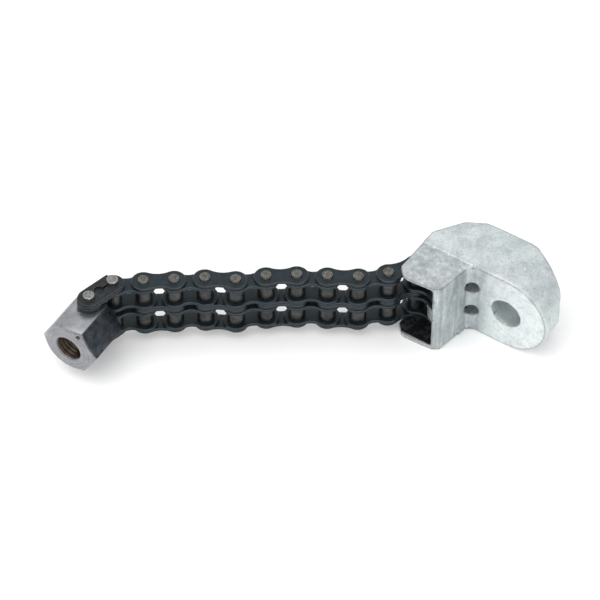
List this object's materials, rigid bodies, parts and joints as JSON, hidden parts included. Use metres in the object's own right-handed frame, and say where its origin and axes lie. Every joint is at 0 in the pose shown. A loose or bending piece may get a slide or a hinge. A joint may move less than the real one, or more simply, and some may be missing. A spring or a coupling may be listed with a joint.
{
  "type": "oil filter wrench",
  "caption": "Chain-type oil filter wrench: cast V-jaw head with a spindle bore, a two-strand roller chain and a threaded hex nut on its end link.",
  "frame": {"origin": "centre of the spindle bore where it leaves the head's front face", "axes": "+X from the nut end of the laid-out chain towards the head, +Z along the chain's pins, away from the face that the head lies on"},
  "size_m": [0.2132, 0.058, 0.038],
  "materials": {
    "cast_aluminium": "as-cast, matte to satin",
    "blackened_plate": "black oxide, oiled satin",
    "roller_steel": "dark hardened steel, satin",
    "pin_steel": "riveted steel, grey-bronze",
    "bright_pin_steel": "bright ground steel",
    "clip_steel": "blackened spring steel",
    "nut_steel": "satin zinc-plated steel"
  },
  "bodies": {
    "head": {"head_casting": "cast_aluminium", "anchor_pin": "pin_steel"},
    "link_1": {"inner_plates_1": "blackened_plate", "bushes_1": "roller_steel"},
    "link_2": {"outer_plates_1": "blackened_plate", "middle_plates_1": "blackened_plate", "rivet_pins_1": "pin_steel"},
    "link_3": {"inner_plates_2": "blackened_plate", "bushes_2": "roller_steel"},
    "link_4": {"outer_plates_2": "blackened_plate", "middle_plates_2": "blackened_plate", "rivet_pins_2": "pin_steel"},
    "link_5": {"inner_plates_3": "blackened_plate", "bushes_3": "roller_steel"},
    "link_6": {"outer_plates_3": "blackened_plate", "middle_plates_3": "blackened_plate", "rivet_pins_3": "pin_steel"},
    "link_7": {"inner_plates_4": "blackened_plate", "bushes_4": "roller_steel"},
    "link_8": {"outer_plates_4": "blackened_plate", "middle_plates_4": "blackened_plate", "rivet_pins_4": "pin_steel"},
    "link_9": {"inner_plates_5": "blackened_plate", "bushes_5": "roller_steel"},
    "link_10": {"outer_plates_5": "blackened_plate", "middle_plates_5": "blackened_plate", "rivet_pins_5": "pin_steel"},
    "link_11": {"inner_plates_6": "blackened_plate", "bushes_6": "roller_steel"},
    "connecting_link": {"connecting_plate_fixed": "blackened_plate", "connecting_plate_loose": "blackened_plate", "connecting_pins": "bright_pin_steel", "spring_clip": "clip_steel", "nut_spacer": "blackened_plate"},
    "nut": {"hex_nut": "nut_steel"},
    "roller_1_lower": {"roller_1_lower": "roller_steel"},
    "roller_1_upper": {"roller_1_upper": "roller_steel"},
    "roller_2_lower": {"roller_2_lower": "roller_steel"},
    "roller_2_upper": {"roller_2_upper": "roller_steel"},
    "roller_3_lower": {"roller_3_lower": "roller_steel"},
    "roller_3_upper": {"roller_3_upper": "roller_steel"},
    "roller_4_lower": {"roller_4_lower": "roller_steel"},
    "roller_4_upper": {"roller_4_upper": "roller_steel"},
    "roller_5_lower": {"roller_5_lower": "roller_steel"},
    "roller_5_upper": {"roller_5_upper": "roller_steel"},
    "roller_6_lower": {"roller_6_lower": "roller_steel"},
    "roller_6_upper": {"roller_6_upper": "roller_steel"},
    "roller_7_lower": {"roller_7_lower": "roller_steel"},
    "roller_7_upper": {"roller_7_upper": "roller_steel"},
    "roller_8_lower": {"roller_8_lower": "roller_steel"},
    "roller_8_upper": {"roller_8_upper": "roller_steel"},
    "roller_9_lower": {"roller_9_lower": "roller_steel"},
    "roller_9_upper": {"roller_9_upper": "roller_steel"},
    "roller_10_lower": {"roller_10_lower": "roller_steel"},
    "roller_10_upper": {"roller_10_upper": "roller_steel"},
    "roller_11_lower": {"roller_11_lower": "roller_steel"},
    "roller_11_upper": {"roller_11_upper": "roller_steel"}
  },
  "joints": [
    {"name": "link_1_hinge", "type": "hinge", "parent": "head", "child": "link_1", "pos_m": [-0.02637, 0.00857, 0], "axis": [0, 0, 1], "range_deg": [-5, 50]},
    {"name": "link_2_hinge", "type": "hinge", "parent": "link_1", "child": "link_2", "pos_m": [-0.03694, 0.01562, 0], "axis": [0, 0, -1], "range_deg": [-2, 38]},
    {"name": "link_3_hinge", "type": "hinge", "parent": "link_2", "child": "link_3", "pos_m": [-0.04853, 0.01043, 0], "axis": [0, 0, 1], "range_deg": [-46.6, 73.4]},
    {"name": "link_4_hinge", "type": "hinge", "parent": "link_3", "child": "link_4", "pos_m": [-0.06101, 0.00808, 0], "axis": [0, 0, -1], "range_deg": [-73.2, 46.8]},
    {"name": "link_5_hinge", "type": "hinge", "parent": "link_4", "child": "link_5", "pos_m": [-0.0737, 0.00863, 0], "axis": [0, 0, 1], "range_deg": [-59.5, 60.5]},
    {"name": "link_6_hinge", "type": "hinge", "parent": "link_5", "child": "link_6", "pos_m": [-0.08638, 0.0093, 0], "axis": [0, 0, -1], "range_deg": [-54.3, 65.7]},
    {"name": "link_7_hinge", "type": "hinge", "parent": "link_6", "child": "link_7", "pos_m": [-0.09907, 0.0087, 0], "axis": [0, 0, 1], "range_deg": [-66.8, 53.2]},
    {"name": "link_8_hinge", "type": "hinge", "parent": "link_7", "child": "link_8", "pos_m": [-0.11159, 0.0066, 0], "axis": [0, 0, -1], "range_deg": [-74, 46]},
    {"name": "link_9_hinge", "type": "hinge", "parent": "link_8", "child": "link_9", "pos_m": [-0.12426, 0.0076, 0], "axis": [0, 0, 1], "range_deg": [-68.2, 51.8]},
    {"name": "link_10_hinge", "type": "hinge", "parent": "link_9", "child": "link_10", "pos_m": [-0.13693, 0.00678, 0], "axis": [0, 0, -1], "range_deg": [-60.4, 59.6]},
    {"name": "link_11_hinge", "type": "hinge", "parent": "link_10", "child": "link_11", "pos_m": [-0.14961, 0.00605, 0], "axis": [0, 0, 1], "range_deg": [-63.7, 56.3]},
    {"name": "connecting_link_hinge", "type": "hinge", "parent": "link_11", "child": "connecting_link", "pos_m": [-0.16221, 0.0045, 0], "axis": [0, 0, -1], "range_deg": [-9.5, 80.5]},
    {"name": "nut_hinge", "type": "hinge", "parent": "connecting_link", "child": "nut", "pos_m": [-0.17158, -0.00408, 0], "axis": [0, 0, 1], "range_deg": [-43.9, 12.1]},
    {"name": "roller_1_lower_spin", "type": "hinge", "parent": "link_1", "child": "roller_1_lower", "pos_m": [-0.03694, 0.01562, -0.00696], "axis": [0, 0, 1], "continuous": true},
    {"name": "roller_1_upper_spin", "type": "hinge", "parent": "link_1", "child": "roller_1_upper", "pos_m": [-0.03694, 0.01562, 0.00696], "axis": [0, 0, 1], "continuous": true},
    {"name": "roller_2_lower_spin", "type": "hinge", "parent": "link_3", "child": "roller_2_lower", "pos_m": [-0.04853, 0.01043, -0.00696], "axis": [0, 0, 1], "continuous": true},
    {"name": "roller_2_upper_spin", "type": "hinge", "parent": "link_3", "child": "roller_2_upper", "pos_m": [-0.04853, 0.01043, 0.00696], "axis": [0, 0, 1], "continuous": true},
    {"name": "roller_3_lower_spin", "type": "hinge", "parent": "link_3", "child": "roller_3_lower", "pos_m": [-0.06101, 0.00808, -0.00696], "axis": [0, 0, 1], "continuous": true},
    {"name": "roller_3_upper_spin", "type": "hinge", "parent": "link_3", "child": "roller_3_upper", "pos_m": [-0.06101, 0.00808, 0.00696], "axis": [0, 0, 1], "continuous": true},
    {"name": "roller_4_lower_spin", "type": "hinge", "parent": "link_5", "child": "roller_4_lower", "pos_m": [-0.0737, 0.00863, -0.00696], "axis": [0, 0, 1], "continuous": true},
    {"name": "roller_4_upper_spin", "type": "hinge", "parent": "link_5", "child": "roller_4_upper", "pos_m": [-0.0737, 0.00863, 0.00696], "axis": [0, 0, 1], "continuous": true},
    {"name": "roller_5_lower_spin", "type": "hinge", "parent": "link_5", "child": "roller_5_lower", "pos_m": [-0.08638, 0.0093, -0.00696], "axis": [0, 0, 1], "continuous": true},
    {"name": "roller_5_upper_spin", "type": "hinge", "parent": "link_5", "child": "roller_5_upper", "pos_m": [-0.08638, 0.0093, 0.00696], "axis": [0, 0, 1], "continuous": true},
    {"name": "roller_6_lower_spin", "type": "hinge", "parent": "link_7", "child": "roller_6_lower", "pos_m": [-0.09907, 0.0087, -0.00696], "axis": [0, 0, 1], "continuous": true},
    {"name": "roller_6_upper_spin", "type": "hinge", "parent": "link_7", "child": "roller_6_upper", "pos_m": [-0.09907, 0.0087, 0.00696], "axis": [0, 0, 1], "continuous": true},
    {"name": "roller_7_lower_spin", "type": "hinge", "parent": "link_7", "child": "roller_7_lower", "pos_m": [-0.11159, 0.0066, -0.00696], "axis": [0, 0, 1], "continuous": true},
    {"name": "roller_7_upper_spin", "type": "hinge", "parent": "link_7", "child": "roller_7_upper", "pos_m": [-0.11159, 0.0066, 0.00696], "axis": [0, 0, 1], "continuous": true},
    {"name": "roller_8_lower_spin", "type": "hinge", "parent": "link_9", "child": "roller_8_lower", "pos_m": [-0.12426, 0.0076, -0.00696], "axis": [0, 0, 1], "continuous": true},
    {"name": "roller_8_upper_spin", "type": "hinge", "parent": "link_9", "child": "roller_8_upper", "pos_m": [-0.12426, 0.0076, 0.00696], "axis": [0, 0, 1], "continuous": true},
    {"name": "roller_9_lower_spin", "type": "hinge", "parent": "link_9", "child": "roller_9_lower", "pos_m": [-0.13693, 0.00678, -0.00696], "axis": [0, 0, 1], "continuous": true},
    {"name": "roller_9_upper_spin", "type": "hinge", "parent": "link_9", "child": "roller_9_upper", "pos_m": [-0.13693, 0.00678, 0.00696], "axis": [0, 0, 1], "continuous": true},
    {"name": "roller_10_lower_spin", "type": "hinge", "parent": "link_11", "child": "roller_10_lower", "pos_m": [-0.14961, 0.00605, -0.00696], "axis": [0, 0, 1], "continuous": true},
    {"name": "roller_10_upper_spin", "type": "hinge", "parent": "link_11", "child": "roller_10_upper", "pos_m": [-0.14961, 0.00605, 0.00696], "axis": [0, 0, 1], "continuous": true},
    {"name": "roller_11_lower_spin", "type": "hinge", "parent": "link_11", "child": "roller_11_lower", "pos_m": [-0.16221, 0.0045, -0.00696], "axis": [0, 0, 1], "continuous": true},
    {"name": "roller_11_upper_spin", "type": "hinge", "parent": "link_11", "child": "roller_11_upper", "pos_m": [-0.16221, 0.0045, 0.00696], "axis": [0, 0, 1], "continuous": true}
  ]
}
